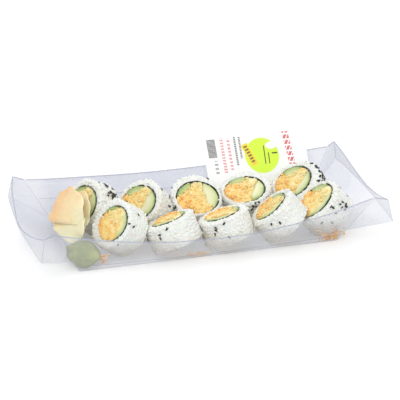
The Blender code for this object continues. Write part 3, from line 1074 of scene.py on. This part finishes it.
@dataclass
class Roll:
    """One inside-out roll: rice outside, seaweed, then three fillings that run through it.

    Its own axes are right and up across the front cut, and outward along the roll.  The core is the
    seaweed and what it holds: core_scale and core_shift press it out of round and off centre,
    swell thickens the rice towards one angle, and slim thins the avocado and the green slice.
    """

    name: str
    seed: int
    patches: tuple
    core_scale: tuple = (1.0, 1.0)
    core_shift: tuple = (0.0, 0.0)
    swell: float = 0.8
    swell_angle: float = 90.0
    slim: tuple = (0.0, 0.0)
    radius: float = 19.5
    half: float = 10.5
    edge: float = 2.4
    rice_inner: float = 15.9
    nori_inner: float = 15.15
    nori_thickness: float = 0.5
    filling: float = 14.9
    lowest: float = 0.65
    # Heights over which the rice's painted shade fades out.
    damp_height: tuple = (7.0, 23.0)
    bed_columns: int = 84
    nori_columns: int = 144
    nori_crest: float = 0.6
    plug_columns: int = 84
    plug_shares: tuple = (0.0, 0.15, 0.3, 0.45, 0.6, 0.74, 0.86, 0.94, 1.0)
    grain_rows: int = 7
    grains_round: int = 38
    grain_halves: tuple = ((2.2, 3.0), (1.05, 1.35), (0.85, 1.1))
    cut_grains: tuple = ((16.7, 32, 0.0, 0.0), (18.1, 34, 0.5, 0.55))
    shred_halves: tuple = ((1.2, 2.5), (0.5, 0.9), (0.4, 0.62))
    shred_counts: tuple = (130, 80)
    sesame_halves: tuple = ((1.35, 1.65), (0.8, 0.98))
    sesame_height: float = 0.45

    def __post_init__(self) -> None:
        """Find the roll's place in the frame."""
        self.seat = Seat.of(self.name + "_rice")
        self.rng = np.random.default_rng(self.seed)

    def press(self, points: Array) -> Array:
        """Press points out of round and carry them to the frame.

        The core is scaled and shifted; the rice's outer side keeps its place and swells by a cosine
        towards one angle; between them the two are blended by distance from the axis.

        Args:
            points: places in the roll's own axes.

        Returns:
            Places in the frame.
        """
        reach = np.hypot(points[:, 0], points[:, 1])
        share = smooth(reach, self.nori_inner, self.radius)[:, None]
        flat = points[:, :2]
        core = flat * self.core_scale + self.core_shift
        angle = np.arctan2(flat[:, 1], flat[:, 0]) - math.radians(self.swell_angle)
        grow = 1 + self.swell / self.radius * np.maximum(np.cos(angle), 0.0)
        outer = flat * grow[:, None]
        moved = np.concatenate([line(core, outer, share), points[:, 2:]], 1)
        placed = self.seat.out(moved)
        placed[:, 2] = np.maximum(placed[:, 2], self.lowest)
        return placed

    # ---- rice
    def bed(self) -> tuple[Array, Array, Array]:
        """Rice body: a rounded ring section carried round the axis, with soft lumps.

        Returns:
            Points, faces and tones.
        """
        e, h, r = self.edge, self.half - 0.3, self.radius - 0.55
        turn = np.linspace(0, math.pi / 2, 5)
        outer = np.stack([r - e + e * np.sin(turn), h - e + e * np.cos(turn)], -1)
        side = np.stack([np.full(7, r), np.linspace(h - e, -h + e, 9)[1:-1]], -1)
        face = np.stack([np.linspace(self.rice_inner, r - e, 4)[:-1], np.full(3, h)], -1)
        section = np.concatenate([face, outer, side, outer[::-1] * [1, -1], face[::-1] * [1, -1]])
        t = angles(self.bed_columns)
        flat = around(section[:, :1], t, section[:, 1:]).reshape(-1, 3)
        free = smooth(np.hypot(flat[:, 0], flat[:, 1]), self.rice_inner, self.rice_inner + 1.5)
        bump = lumps(flat, 5.5, self.seed) * 0.42 + lumps(flat, 2.4, self.seed + 1) * 0.22
        flat = flat + unit(flat) * (bump * free)[:, None]
        tone = 0.35 + 0.25 * lumps(flat, 3.0, self.seed + 2)
        return flat, round_faces(len(section), len(t))[:, ::-1], tone

    def grain_places(self) -> tuple[Array, Array]:
        """Places and outward directions of the grains: staggered rows round the side, then rings
        on both cut faces, given by cut_grains as radius, count, how far sunk and how far leant.

        Returns:
            Places and directions.
        """
        spots, ways = [], []
        count, reach = self.grains_round, self.half - 1.7
        for j, depth in enumerate(np.linspace(-reach, reach, self.grain_rows)):
            t = (np.arange(count) + 0.5 * (j % 2)) * 2 * math.pi / count
            t = t + self.rng.normal(0, 0.035, count)
            z = depth + self.rng.normal(0, 0.45, count)
            r = self.radius - 1.05 - 0.9 * np.abs(z / self.half) ** 6
            spots.append(around(r, t, z))
            ways.append(around(1.0, t, np.clip(z / self.half, -1, 1) ** 5 * 0.8))
        for side in SIDES:
            for r, count, sunk, lean in self.cut_grains:
                t = np.arange(count) * 2 * math.pi / count + self.rng.normal(0, 0.05, count)
                spots.append(around(r, t, side * (self.half - 0.85 - sunk)))
                ways.append(around(lean, t, side))
        return np.concatenate(spots), unit(np.concatenate(ways))

    def rice(self) -> None:
        """Build the rice: the body and its grains, as one piece, with painted shade where it lies
        low.
        """
        flat, faces, tone = self.bed()
        spots, ways = self.grain_places()
        count = len(spots)
        sizes = drawn(self.rng, self.grain_halves, count)
        axes = frames(ways, self.rng.uniform(0, math.pi, count))
        axes[:, 0] = unit(axes[:, 0] + axes[:, 2] * self.rng.normal(0, 0.12, (count, 1)))
        axes[:, 2] = np.cross(axes[:, 0], axes[:, 1])
        grains, grain_faces = scatter(spots, axes, sizes, self.rng.normal(0, 0.03, count))
        grain_tone = np.repeat(self.rng.uniform(0.3, 1.0, count), len(PEBBLE))
        placed = self.press(np.concatenate([flat, grains]))
        make_piece(self.name + "_rice_grains", placed,
                   np.concatenate([faces, grain_faces + len(flat)]), Finish.RICE,
                   (self.name + "_rice",),
                   {"tone": np.concatenate([tone, grain_tone]),
                    # Painted shade: rice that lies lower is marked for more of it.
                    "damp": 1.0 - smooth(placed[:, 2], *self.damp_height)})

    # ---- seaweed
    def nori(self) -> None:
        """Build the seaweed ring: a thin band that waves in radius, stands proud on its upper right
        and sinks between rice and filling on its lower left, where it is half as thick."""
        t = angles(self.nori_columns)
        crest = np.cos(t - self.nori_crest)
        wave = 0.16 * np.sin(3 * t + self.seed) + 0.10 * np.sin(7 * t + 2 * self.seed)
        proud = 0.72 * crest - 0.32 + 0.18 * np.sin(5 * t + 2 * self.seed)
        front = self.half + proud + 0.14 * np.sin(13 * t + self.seed)
        inner = self.nori_inner + wave
        outer = inner + self.nori_thickness * (0.5 + 0.5 * smooth(crest, -0.5, 0.5))
        section = ((inner, -front), (inner, front), (inner + 0.25, front + 0.1),
                   (outer, front), (outer, -front))
        rows = np.stack([around(r, t, z) for r, z in section])
        make_piece(self.name + "_seaweed", self.press(rows.reshape(-1, 3)),
                   round_faces(len(section), len(t)), Finish.NORI,
                   (self.name + "_nori",), weld=0.001, sharp=40.0)

    # ---- fillings
    def outline(self, part: str) -> Array:
        """Outline of a filling on the cut, in the roll's right and up directions.

        Args:
            part: which filling: avocado, green, or mix for what lies between them.

        Returns:
            Corner points.
        """
        def arc(start: float, stop: float, count: int, grow: float = 0.0) -> Array:
            """Run along the filling circle.

            Args:
                start: first angle, in degrees.
                stop: last angle.
                count: number of points.
                grow: how far the run stands out midway, falling by a sine to its ends.

            Returns:
                Points.
            """
            a = np.radians(np.linspace(start, stop, count))
            r = self.filling + grow * np.sin(np.linspace(0, math.pi, count))
            return np.stack([np.cos(a) * r, np.sin(a) * r], -1)
        thin, short = self.slim
        flesh = np.array([(5.6, 6.4), (6.6, 0.4), (6.0, -5.6)]) + (thin, 0.0)
        crisp = np.array([(-9.8, 3.4), (-6.4, 6.8), (-2.4, 9.0)]) + (-0.6 * short, 0.8 * short)
        if part == "avocado":
            return np.concatenate([arc(-50, 62, 14), flesh])
        if part == "green":
            return np.concatenate([arc(97, 166, 10), crisp])
        return np.concatenate([arc(168, 308, 18, 0.9), flesh[::-1], arc(64, 96, 5), crisp[::-1]])

    def plug(self, part: str, dome: float, rough: float, shift: float) -> tuple:
        """Filling body: its outline shrunk towards a middle point on domed ends.

        Args:
            part: which filling.
            dome: how far its cut faces bulge.
            rough: height of the lumps on the cut faces.
            shift: how far it stands out of the cut.

        Returns:
            Points, faces and the share of each point from the roll's middle to its rim.
        """
        corners = self.outline(part)
        middle = corners.mean(0)
        closed = np.concatenate([corners, corners[:1]])
        along = np.concatenate([[0], np.cumsum(np.linalg.norm(np.diff(closed, axis=0), axis=1))])
        s = np.linspace(0, along[-1], self.plug_columns, endpoint=False)
        rim = np.stack([np.interp(s, along, closed[:, 0]), np.interp(s, along, closed[:, 1])], -1)
        rim = (rim + np.roll(rim, 1, 0) + np.roll(rim, -1, 0)) / 3
        k = np.array(self.plug_shares)[:, None]
        top = self.half + shift + dome * (1 - k ** 2.4) - 0.6 * smooth(k, 0.85, 1.0)
        cap = np.stack([middle[0] + (rim[None, :, 0] - middle[0]) * k,
                        middle[1] + (rim[None, :, 1] - middle[1]) * k, top + 0 * s], -1)
        body = np.concatenate([cap, cap[::-1] * [1, 1, -1]])
        bump = lumps(body, 4.2, self.seed + 11) + 0.5 * lumps(body, 1.8, self.seed + 12)
        body[..., 2] += np.sign(body[..., 2]) * bump * rough
        reach = np.clip(np.hypot(body[..., 0], body[..., 1]) / self.filling, 0, 1)
        return body.reshape(-1, 3), quads(len(body), len(s), closed=True), reach.ravel()

    def shreds(self, count: int, side: int) -> tuple[Array, Array, Array]:
        """Shreds lying on a cut face of the mix: bent slivers in seeded places and directions.

        Args:
            count: most shreds laid.
            side: 1 for the front cut, -1 for the back one.

        Returns:
            Points, faces and tones.
        """
        outline = self.outline("mix")
        ahead = np.roll(outline, -1, 0)
        tries = self.rng.uniform(-self.filling, self.filling, (count * 8, 2))
        above = (outline[None, :, 1] > tries[:, 1:]) != (ahead[None, :, 1] > tries[:, 1:])
        slope = (ahead - outline)[None, :, 0] / ((ahead - outline)[None, :, 1] + 1e-9)
        left = tries[:, :1] < slope * (tries[:, 1:] - outline[None, :, 1]) + outline[None, :, 0]
        inside = tries[((above & left).sum(1) % 2) == 1][:count]
        inside = outline.mean(0) + (inside - outline.mean(0)) * 0.9
        count = len(inside)
        z = side * (self.half + 0.5 + self.rng.uniform(-0.2, 0.75, count))
        way = unit(np.stack([self.rng.normal(0, 0.25, count), self.rng.normal(0, 0.25, count),
                             np.full(count, float(side))], -1))
        sizes = drawn(self.rng, self.shred_halves, count)
        points, faces = scatter(np.concatenate([inside, z[:, None]], 1),
                                frames(way, self.rng.uniform(0, 2 * math.pi, count)), sizes,
                                self.rng.normal(-0.03, 0.06, count))
        low = -(inside[:, 0] + inside[:, 1]) / (3.2 * self.filling)
        tone = np.clip(self.rng.uniform(0, 1, count) ** 1.3 * 0.8 + 0.1 + low, 0, 1)
        return points, faces, np.repeat(tone, len(PEBBLE))

    def mix(self) -> None:
        """Build the orange mix: its body and the shreds on both cut faces, as one piece."""
        points, faces, _ = self.plug("mix", 0.8, 0.5, 0.2)
        low = -(points[:, 0] + points[:, 1]) / (3.2 * self.filling)
        tone = np.clip(0.38 + 0.3 * lumps(points, 3.4, self.seed + 4) + low, 0, 1)
        parts, marks, skins, start = [points], [tone], [faces], len(points)
        for side, count in zip((1, -1), self.shred_counts):
            p, f, m = self.shreds(count, side)
            parts.append(p)
            marks.append(m)
            skins.append(f + start)
            start += len(p)
        make_piece(self.name + "_orange_mix", self.press(np.concatenate(parts)),
                   np.concatenate(skins), Finish.MIX, (self.name + "_mix",),
                   {"tone": np.concatenate(marks)}, weld=0.001)

    def slices(self) -> None:
        """Build the avocado and the green slice."""
        for part, finish, slot, dome in (("avocado", Finish.AVOCADO, "avocado", 0.55),
                                         ("green", Finish.GREEN, "green", 0.35)):
            points, faces, reach = self.plug(part, dome, 0.16, 0.15)
            make_piece(self.name + "_" + part + "_slice", self.press(points), faces, finish,
                       (self.name + "_" + part,), {"rind": smooth(reach, 0.45, 1.0)},
                       weld=0.001)

    def sesame(self) -> None:
        """Build the seeds: flat drops pressed into the rice round the roll's side."""
        spots, ways = [], []
        for patch in self.patches:
            t = np.radians(self.rng.normal(patch.angle, patch.angle_spread, patch.count))
            z = np.clip(self.rng.normal(patch.depth, patch.depth_spread, patch.count),
                        -self.half + 1.0, self.half - 0.6)
            r = self.radius + 0.2 - 1.6 * np.abs(z / self.half) ** 8
            ways.append(around(1.0, t, np.clip(z / self.half, -1, 1) ** 5))
            spots.append(around(r, t, z))
        spots, ways = np.concatenate(spots), unit(np.concatenate(ways))
        count = len(spots)
        sizes = np.concatenate([drawn(self.rng, self.sesame_halves, count),
                                np.full((count, 1), self.sesame_height)], -1)
        points, faces = scatter(spots, frames(ways, self.rng.uniform(0, 2 * math.pi, count)),
                                sizes, taper=0.45)
        tone = np.repeat(self.rng.uniform(0, 1, count) ** 2, len(PEBBLE))
        make_piece(self.name + "_sesame", self.press(points), faces, Finish.SEEDS,
                   (), {"tone": tone})

    def build(self) -> None:
        """Build every layer of the roll."""
        self.rice()
        self.nori()
        self.mix()
        self.slices()
        self.sesame()


# ================================================================================ ginger, wasabi
@dataclass
class GingerSlice:
    """One slice of pickled ginger, folded over at its lower edge."""

    name: str
    seed: int
    long: float
    wide: float
    turn: float
    fold: float
    blush: float
    shift: tuple
    thickness: float = 1.2
    lowest: float = 1.2
    fold_radius: float = 2.2
    rows: int = 18
    columns: int = 72

    def build(self) -> None:
        """Build the slice: an oval whose edge waves three and seven times round, bent across by a
        parabola and ruffled five and eleven times round by powers of the share out from its middle.
        What lies below the fold line is rolled round a small radius and laid flat behind; then the
        sheet is turned, set on its seat and given its thickness."""
        seat = Seat.of(self.name)
        k = np.linspace(0.02, 1.0, self.rows)[:, None]
        t = angles(self.columns)[None, :]
        edge = 1 + 0.05 * np.sin(3 * t + self.seed) + 0.035 * np.sin(7 * t + 2 * self.seed)
        x, y = self.wide * k * edge * np.cos(t), self.long * k * edge * np.sin(t)
        ruffle = 0.9 * k ** 3 * np.sin(5 * t + self.seed) + 0.5 * k ** 5 * np.sin(11 * t + 1.0)
        z = -0.010 * x ** 2 + ruffle + 0.8 * np.sin(y * 0.2 + self.seed) + 0.012 * x * y
        over = np.maximum(-self.fold - y, 0.0)
        bend = np.clip(over / self.fold_radius, 0, math.pi)
        run = np.maximum(over - math.pi * self.fold_radius, 0.0)
        y2 = np.where(over > 0, -self.fold - self.fold_radius * np.sin(bend) + run, y)
        z2 = np.where(over > 0, z * np.cos(bend) - self.fold_radius * (1 - np.cos(bend)), z)
        sheet = np.stack([x + self.shift[0], y2 + self.shift[1], z2], -1).reshape(-1, 3)
        sheet[:, 2] += 0.35 * lumps(sheet, 6.0, self.seed)
        a = math.radians(self.turn)
        spin = np.array([[math.cos(a), math.sin(a), 0], [-math.sin(a), math.cos(a), 0], [0, 0, 1]])
        points = (sheet - (*self.shift, 0.0)) @ spin + (*self.shift, 0.0)
        tone = self.blush - 0.35 * x / self.wide + 0.15 * y / self.long
        tone = np.clip(tone + 0.12 * lumps(points, 9.0, self.seed + 3).reshape(tone.shape), 0, 1)
        faces = quads(self.rows, self.columns, closed=True).tolist()
        faces += fan(len(points), np.arange(self.columns))
        points = np.concatenate([points, points[:self.columns].mean(0, keepdims=True)])
        marks = {"tone": np.append(tone.ravel(), tone[0].mean()),
                 "fibre": np.append((x / self.wide * 0.5 + 0.5).ravel(), 0.5)}
        placed = seat.out(points)
        placed[:, 2] = np.maximum(placed[:, 2], self.lowest)
        piece = make_piece(self.name + "_petal", placed, faces, Finish.GINGER,
                           (self.name,), marks, weld=0.0005)
        wall = piece.modifiers.new("thickness", "SOLIDIFY")
        wall.thickness = self.thickness * MM
        wall.offset = 0.0
        soft = piece.modifiers.new("soft", "SUBSURF")
        soft.levels = soft.render_levels = 1


@dataclass
class Wasabi:
    """Mound of wasabi paste in the corner of the tray, with a smaller knob on one side."""

    rows: int = 40
    columns: int = 72
    knob: tuple = (0.55, -0.75, 0.25)
    knob_rise: float = 0.28
    knob_spread: float = 0.16
    stretch: tuple = (1.02, 1.02, 1.15)
    climb: float = 0.6
    foot_spread: tuple = (2.5, 5.5)

    def build(self) -> None:
        """Build the mound: a ball that rises by a bell curve round its knob, with spiral ridges and
        seeded lumps, flat where it rests.  Its outer side climbs the flared end by a share of its
        height, and its foot spreads into the corner by an S that fades with height."""
        low, high = (np.array(c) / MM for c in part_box("wasabi"))
        centre, half = (low + high) / 2, (high - low) / 2
        p = np.linspace(0.02, math.pi - 0.02, self.rows)[:, None]
        t = angles(self.columns)[None, :]
        ball = around(np.sin(p), t, np.cos(p))
        knob = np.exp(-((ball - np.array(self.knob)) ** 2).sum(-1) / self.knob_spread)
        size = 1.0 + self.knob_rise * knob + np.sin(3 * t + 6 * p) * 0.05 * np.sin(p)
        size = size + 0.09 * lumps(ball * 9, 5.0, 21) + 0.05 * lumps(ball * 9, 2.4, 22)
        shape = ball * size[..., None] * half * self.stretch
        shape[..., 2] = np.maximum(shape[..., 2], -half[2])
        height = shape[..., 2] + half[2]
        shape[..., 0] -= (self.climb * np.maximum(height - 1.0, 0.0)
                          * smooth(-shape[..., 0], -5.0, 6.0))
        foot = 1.0 - smooth(height, 1.0, 13.0)
        shape[..., 1] -= self.foot_spread[1] * foot * smooth(-shape[..., 1], -2.0, 7.0)
        shape[..., 0] -= self.foot_spread[0] * foot * smooth(-shape[..., 0], -2.0, 6.0)
        points = (shape + centre).reshape(-1, 3)
        ends = np.stack([points[:self.columns].mean(0), points[-self.columns:].mean(0)])
        count, ring = len(points), np.arange(self.columns)
        faces = quads(self.rows, self.columns, closed=True)[:, ::-1].tolist()
        faces += fan(count, ring) + fan(count + 1, count - 1 - ring)
        make_piece("wasabi_mound", np.concatenate([points, ends]), faces, Finish.WASABI,
                   ("wasabi",), {"tone": np.append(knob.ravel(), [0.0, 0.0])},
                   weld=0.001)


@dataclass
class LooseFilling:
    """Shreds of filling that fell on the base: how many, round which place and how far spread.

    They are kept behind the front wall, which leaves the base at front and leans out by lean.
    """

    name: str
    seed: int
    count: int
    place: tuple
    spread: tuple
    halves: tuple = ((1.2, 2.4), (0.5, 0.8), (0.4, 0.6))
    lowest: tuple = (1.3, 0.3)
    front: float = -37.0
    lean: float = 0.9

    def build(self) -> None:
        """Build the shreds as one piece: bent slivers in a low heap."""
        rng = np.random.default_rng(self.seed)
        spots = rng.normal(0, 1, (self.count, 3)) * self.spread + self.place
        spots[:, 2] = np.maximum(np.abs(spots[:, 2]), self.lowest[0])
        ways = unit(rng.normal(0, 0.5, (self.count, 3)) + (0.0, 0.0, 1.0))
        sizes = drawn(rng, self.halves, self.count)
        points, faces = scatter(spots, frames(ways, rng.uniform(0, 2 * math.pi, self.count)),
                                sizes, rng.normal(0.0, 0.06, self.count))
        points[:, 2] = np.maximum(points[:, 2], self.lowest[1])
        points[:, 1] = np.maximum(points[:, 1], self.front - self.lean * points[:, 2])
        tone = np.repeat(rng.uniform(0.6, 1.1, self.count), len(PEBBLE))
        make_piece(self.name, points, faces, Finish.MIX, (), {"tone": tone})


# ========================================================================================= card
@dataclass
class LabelCard:
    """Printed card leaning on the back wall."""

    top_left: tuple = (24.4, 76.4, 49.4)
    top_right: tuple = (105.9, 60.2, 55.0)
    bottom_left: tuple = (24.4, 47.9, 15.9)
    bottom_right: tuple = (105.9, 42.2, 14.9)
    thickness: float = 0.38
    bow: float = 0.9
    columns: int = 61
    rows: int = 33

    def build(self) -> None:
        """Build the card: straight lines between its four corners, bowed by half a sine along it
        times the square of the share up it, with front and back faces joined round its edge."""
        u = np.linspace(0, 1, self.columns)[None, :, None]
        v = np.linspace(0, 1, self.rows)[:, None, None]
        low = line(np.array(self.bottom_left), np.array(self.bottom_right), u)
        high = line(np.array(self.top_left), np.array(self.top_right), u)
        middle = line(low, high, v)
        top = np.array(self.top_right) - np.array(self.top_left)
        side = unit(np.cross(top, (high - low)[0]))[None]
        middle = middle + side * (self.bow * np.sin(math.pi * u) * v ** 2)
        front = (middle + side * self.thickness / 2).reshape(-1, 3)
        back = (middle - side * self.thickness / 2).reshape(-1, 3)
        count = len(front)
        grid = quads(self.rows, self.columns)
        index = np.arange(count).reshape(self.rows, self.columns)
        loop = np.concatenate([index[0], index[1:, -1], index[-1, -2::-1], index[-2:0:-1, 0]])
        ahead = np.roll(loop, -1)
        edge = np.stack([ahead, loop, loop + count, ahead + count], -1)
        faces = np.concatenate([grid, grid[:, ::-1] + count, edge])
        long = float(np.linalg.norm(top))
        tall = float(np.linalg.norm(np.array(self.top_left) - np.array(self.bottom_left)))
        x = np.tile((u[..., 0] * long + 0 * v[..., 0]).ravel(), 2)
        y = np.tile(((1 - v[..., 0]) * tall + 0 * u[..., 0]).ravel(), 2)
        marks = {"card_x": x, "card_y": y,
                 "card_front": np.concatenate([np.ones(count), np.zeros(count)])}
        make_piece("label_card_print", np.concatenate([front, back]), faces, Finish.CARD,
                   ("label_card",), marks, sharp=40.0)


# ======================================================================================= studio
@dataclass(frozen=True)
class Lamp:
    """Square soft lamp: where it stands, how wide it is and its watts."""

    name: str
    place: tuple
    size: float
    power: float

    def light(self) -> None:
        """Hang the lamp, aimed at the tray."""
        data = bpy.data.lights.new(self.name, "AREA")
        data.shape, data.size, data.energy = "SQUARE", self.size, self.power
        lamp = bpy.data.objects.new(self.name, data)
        lamp.location = self.place
        lamp.rotation_mode = "QUATERNION"
        lamp.rotation_quaternion = Vector(self.place).to_track_quat("Z", "Y")
        bpy.context.scene.collection.objects.link(lamp)


@dataclass
class Studio:
    """Pale floor, soft light and the camera, in metres."""

    azimuth: float = -15.86
    elevation: float = 24.76
    distance: float = 1.5335
    lens: float = 179.4
    sensor: float = 36.0
    clip: tuple = (0.05, 30.0)
    aim_right: float = 0.0021
    aim_up: float = 0.0270
    floor_half: float = 6.0
    floor_level: float = -0.0004
    world_light: float = 0.70
    lamps: tuple = (Lamp("key", (-0.55, -0.65, 1.05), 0.8, 6.4),
                    Lamp("fill", (0.9, -0.5, 0.7), 0.9, 2.8),
                    Lamp("back", (0.1, 1.0, 0.9), 0.8, 3.8))

    def floor(self) -> None:
        """Build the floor under the tray."""
        mesh = bpy.data.meshes.new("floor")
        s, z = self.floor_half, self.floor_level
        mesh.from_pydata([(-s, -s, z), (s, -s, z), (s, s, z), (-s, s, z)], [], [(0, 1, 2, 3)])
        mesh.materials.append(Finish.FLOOR.material())
        floor = bpy.data.objects.new("floor", mesh)
        bpy.context.scene.collection.objects.link(floor)

    def lights(self) -> None:
        """Add the surrounding light and the lamps, with plain colours in the view."""
        world = bpy.data.worlds.new("studio")
        bpy.context.scene.world = world
        world.use_nodes = True
        sky = world.node_tree.nodes["Background"].inputs
        sky["Color"].default_value = (1.0, 1.0, 1.0, 1.0)
        sky["Strength"].default_value = self.world_light
        for lamp in self.lamps:
            lamp.light()
        bpy.context.scene.view_settings.view_transform = "Standard"

    def camera(self) -> None:
        """Add the camera on its direction from the tray."""
        a, e = math.radians(self.azimuth), math.radians(self.elevation)
        back = np.array([math.sin(a) * math.cos(e), -math.cos(a) * math.cos(e), math.sin(e)])
        right = np.array([math.cos(a), math.sin(a), 0.0])
        up = np.cross(back, right)
        place = back * self.distance
        aim = right * self.aim_right + up * self.aim_up
        data = bpy.data.cameras.new("camera")
        data.lens, data.sensor_width = self.lens, self.sensor
        data.clip_start, data.clip_end = self.clip
        camera = bpy.data.objects.new("camera", data)
        camera.location = place
        camera.rotation_mode = "QUATERNION"
        camera.rotation_quaternion = Vector(place - aim).to_track_quat("Z", "Y")
        bpy.context.scene.collection.objects.link(camera)
        bpy.context.scene.camera = camera

    def build(self) -> None:
        """Set the whole studio."""
        self.floor()
        self.lights()
        self.camera()


def rolls() -> list[Roll]:
    """List the rolls: each one's seeds as count, angle, spread, depth and spread, then how its
    core is scaled and shifted, how its rice swells and how its slices are thinned.

    Returns:
        The ten rolls, back row first, left to right.
    """
    patch = SeedPatch
    return [
        Roll("back_roll_1", 101, (patch(36, 52, 20, -3.5, 4.0), patch(6, 190, 60, 0, 6)),
             (0.98, 1.0), (0.4, -0.4), 1.4, 70.0, (0.0, -0.5)),
        Roll("back_roll_2", 102, (patch(5, 40, 30, 0, 6), patch(6, 200, 80, 0, 6)),
             (1.0, 0.96), (0.0, 0.0), 1.4, 60.0, (-0.8, 0.0)),
        Roll("back_roll_3", 103, (patch(4, 170, 20, 6, 3), patch(8, 60, 60, 0, 6)),
             (1.08, 1.0), (0.0, -1.0), 2.6, 90.0, (-0.6, 1.0)),
        Roll("back_roll_4", 104, (patch(18, -32, 16, 5, 4), patch(6, 190, 30, 4, 4)),
             (1.04, 0.96), (0.0, -0.6), 2.0, 80.0, (0.4, 0.6)),
        Roll("back_roll_5", 105, (patch(22, 28, 20, 4, 4), patch(12, 55, 22, 9, 1)),
             (0.94, 1.0), (-0.6, -0.4), 3.0, 45.0, (1.2, -1.0)),
        Roll("front_roll_1", 106, (patch(5, 60, 40, 0, 6), patch(5, 230, 60, 0, 6)),
             (0.96, 0.90), (1.6, 0.9), 1.8, 170.0, (5.0, 3.2)),
        Roll("front_roll_2", 107, (patch(3, 10, 40, 4, 4), patch(5, 150, 60, 0, 6)),
             (0.92, 0.84), (0.0, 1.2), 1.0, 90.0, (3.0, 2.0)),
        Roll("front_roll_3", 108, (patch(5, 10, 30, 4, 4), patch(5, 190, 60, 0, 6)),
             (0.90, 0.90), (0.0, 0.4), 1.0, 90.0, (4.0, 1.5)),
        Roll("front_roll_4", 109, (patch(6, 60, 50, 3, 4), patch(4, 200, 60, 0, 6)),
             (0.92, 0.90), (-0.4, 0.4), 1.4, 60.0, (4.0, 0.0)),
        Roll("front_roll_5", 110, (patch(12, 35, 22, 2, 5), patch(5, 190, 60, 0, 6)),
             (0.98, 1.06), (0.0, 0.4), 1.4, 60.0, (3.4, 0.0)),
    ]


def ginger() -> list[GingerSlice]:
    """The three slices of the ginger pile, back to front."""
    return [GingerSlice("ginger_slice_1", 31, 18.0, 14.0, 15.0, 10.0, 0.30, (-1.0, 0.0)),
            GingerSlice("ginger_slice_2", 32, 14.0, 16.5, -12.0, 9.0, 0.16, (-7.4, -3.2)),
            GingerSlice("ginger_slice_3", 33, 18.5, 16.5, 14.0, 8.0, 0.56, (0.5, 4.0))]


def loose() -> list[LooseFilling]:
    """The three small heaps of fallen filling."""
    return [LooseFilling("loose_filling_right", 61, 170, (95.5, -37.0, 5.5), (3.6, 1.3, 3.0)),
            LooseFilling("loose_filling_middle", 62, 24, (-8.0, -36.6, 1.6), (4.5, 0.6, 0.8)),
            LooseFilling("loose_filling_left", 63, 26, (-82.5, -30.0, 4.0), (2.4, 1.4, 2.0))]


def main() -> None:
    """Build the studio, the tray, the food and the card."""
    logging.basicConfig(level=logging.INFO, format="%(name)s: %(message)s")
    for part in (Studio(), Tray(), *rolls(), *ginger(), Wasabi(), *loose(), LabelCard()):
        part.build()
        LOG.info("%s built", getattr(part, "name", type(part).__name__))


if __name__ == "__main__":
    main()
